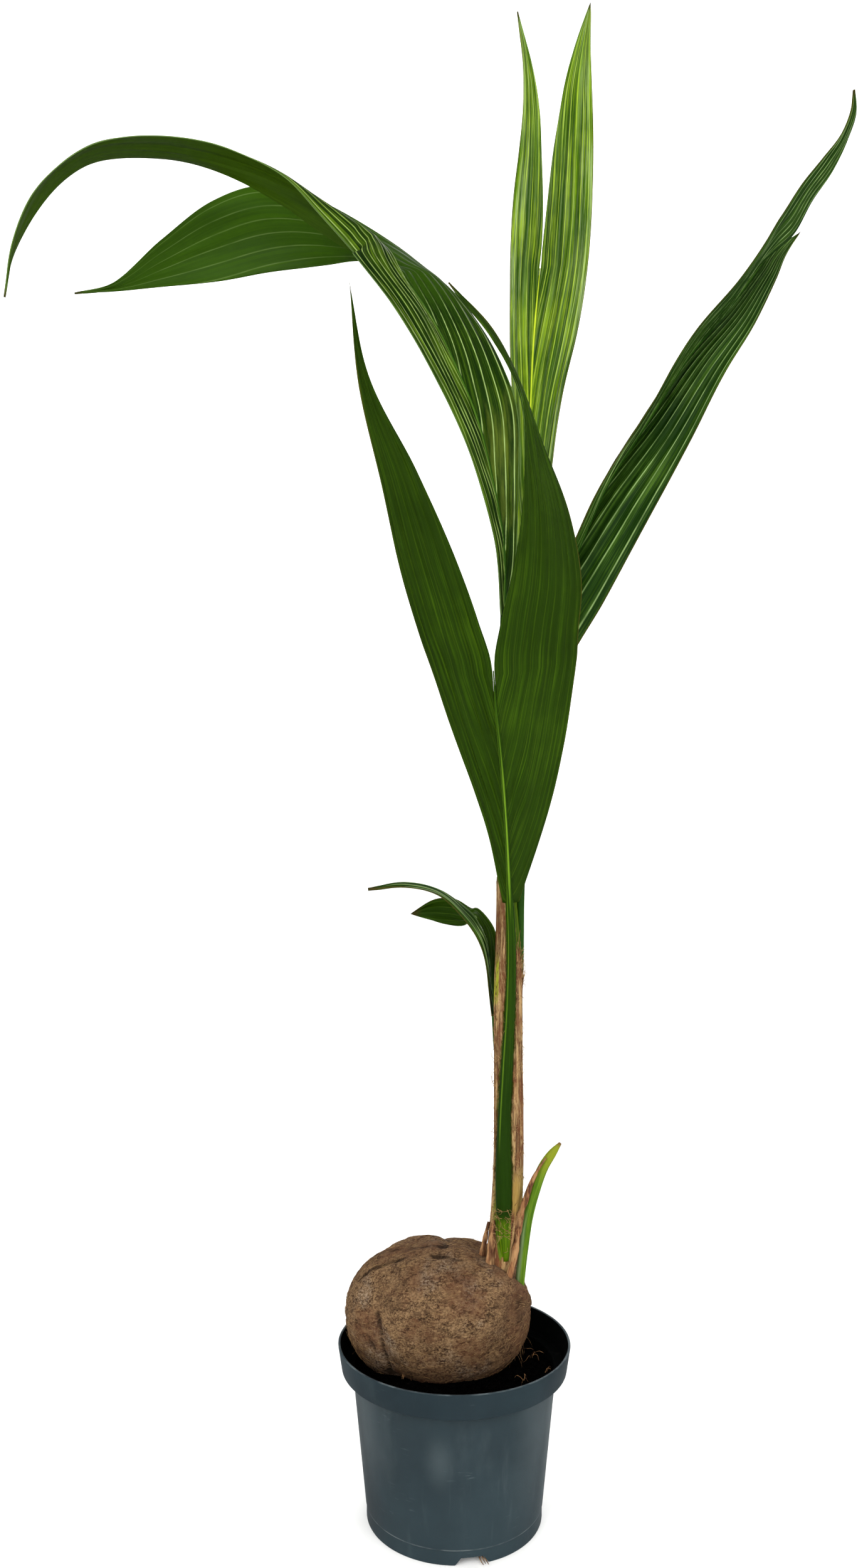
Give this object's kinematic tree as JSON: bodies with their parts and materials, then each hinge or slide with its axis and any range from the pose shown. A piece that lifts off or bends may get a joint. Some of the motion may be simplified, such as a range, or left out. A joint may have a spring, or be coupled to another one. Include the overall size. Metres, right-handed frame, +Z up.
{
  "type": "potted coconut palm",
  "caption": "Young coconut palm with arching split leaves, growing from a sprouted coconut that lies half buried in a round nursery pot.",
  "frame": {"origin": "middle of the pot's flat underside, on the level that it stands on", "axes": "+Z up, +X to the right and +Y away from the viewer, with the plant seen as in the picture"},
  "size_m": [0.7417, 0.3431, 1.2833],
  "materials": {
    "pot_plastic": "satin, lightly scuffed",
    "potting_soil": "moist, grainy",
    "husk_fibre": "dry fibre",
    "sheath_fibre": "dry fibre",
    "young_shoot": "satin leaf",
    "stalk_green": "satin leaf",
    "frond_front_green": "satin leaf",
    "frond_arching_green": "satin leaf",
    "frond_upright_green": "satin leaf",
    "frond_right_green": "satin leaf",
    "frond_small_green": "satin leaf"
  },
  "bodies": {
    "root": {"pot": "pot_plastic", "soil": "potting_soil", "coconut_husk": "husk_fibre", "leaf_stem": "sheath_fibre", "foot_scale": "sheath_fibre", "side_shoot": "young_shoot", "frond_front_stalk": "stalk_green", "frond_front_left": "frond_front_green", "frond_front_right": "frond_front_green", "frond_arching_stalk": "stalk_green", "frond_arching_near_1": "frond_arching_green", "frond_arching_near_2": "frond_arching_green", "frond_arching_near_3": "frond_arching_green", "frond_arching_far_1": "frond_arching_green", "frond_arching_far_2": "frond_arching_green", "frond_upright_stalk": "stalk_green", "frond_upright_left": "frond_upright_green", "frond_upright_right": "frond_upright_green", "frond_right_stalk": "stalk_green", "frond_right_left_1": "frond_right_green", "frond_right_left_2": "frond_right_green", "frond_right_right": "frond_right_green", "frond_small_stalk": "stalk_green", "frond_small_near_1": "frond_small_green", "frond_small_near_2": "frond_small_green", "frond_small_far": "frond_small_green"}
  },
  "joints": []
}
